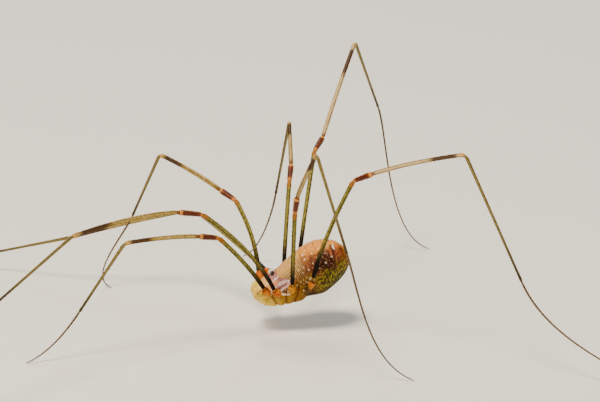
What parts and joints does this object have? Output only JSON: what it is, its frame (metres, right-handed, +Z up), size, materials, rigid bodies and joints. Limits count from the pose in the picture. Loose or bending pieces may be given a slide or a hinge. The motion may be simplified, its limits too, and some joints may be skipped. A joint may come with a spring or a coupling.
{
  "type": "harvestman",
  "caption": "Life-size still model of an orange-brown harvestman: a small oval body, head low, held up between long thin jointed legs that stand on the floor.",
  "frame": {"origin": "on the floor, under the middle of the box round the feet", "axes": "+X from the head to the rear, +Y toward the animal's right side, +Z up"},
  "size_m": [0.058, 0.0411, 0.0199],
  "materials": {
    "carapace": "satin, mauve-brown above and orange-yellow on the coxae",
    "abdomen": "satin, orange-brown with pale spots",
    "eye_mound": "satin, cream",
    "eye": "glossy black",
    "mouth_parts": "satin, pale yellow",
    "trochanter": "satin, orange",
    "femur": "satin, olive-brown with a black-brown base",
    "patella": "satin, dark reddish brown",
    "tibia": "satin, tan with a dark band",
    "metatarsus": "satin, brown",
    "tarsus": "satin, grey-brown"
  },
  "bodies": {
    "root": {"abdomen": "abdomen", "chelicera_left": "mouth_parts", "chelicera_right": "mouth_parts", "eye_left": "eye", "eye_mound": "eye_mound", "eye_right": "eye", "leg_l1_femur": "femur", "leg_l1_metatarsus": "metatarsus", "leg_l1_patella": "patella", "leg_l1_tarsus": "tarsus", "leg_l1_tibia": "tibia", "leg_l1_trochanter": "trochanter", "leg_l2_femur": "femur", "leg_l2_metatarsus": "metatarsus", "leg_l2_patella": "patella", "leg_l2_tarsus": "tarsus", "leg_l2_tibia": "tibia", "leg_l2_trochanter": "trochanter", "leg_l3_femur": "femur", "leg_l3_metatarsus": "metatarsus", "leg_l3_patella": "patella", "leg_l3_tarsus": "tarsus", "leg_l3_tibia": "tibia", "leg_l3_trochanter": "trochanter", "leg_l4_femur": "femur", "leg_l4_metatarsus": "metatarsus", "leg_l4_patella": "patella", "leg_l4_tarsus": "tarsus", "leg_l4_tibia": "tibia", "leg_l4_trochanter": "trochanter", "leg_r1_femur": "femur", "leg_r1_metatarsus": "metatarsus", "leg_r1_patella": "patella", "leg_r1_tarsus": "tarsus", "leg_r1_tibia": "tibia", "leg_r1_trochanter": "trochanter", "leg_r2_femur": "femur", "leg_r2_metatarsus": "metatarsus", "leg_r2_patella": "patella", "leg_r2_tarsus": "tarsus", "leg_r2_tibia": "tibia", "leg_r2_trochanter": "trochanter", "leg_r3_femur": "femur", "leg_r3_metatarsus": "metatarsus", "leg_r3_patella": "patella", "leg_r3_tarsus": "tarsus", "leg_r3_tibia": "tibia", "leg_r3_trochanter": "trochanter", "leg_r4_femur": "femur", "leg_r4_metatarsus": "metatarsus", "leg_r4_patella": "patella", "leg_r4_tarsus": "tarsus", "leg_r4_tibia": "tibia", "leg_r4_trochanter": "trochanter", "pedipalp_left": "mouth_parts", "pedipalp_right": "mouth_parts", "prosoma": "carapace"}
  },
  "joints": []
}
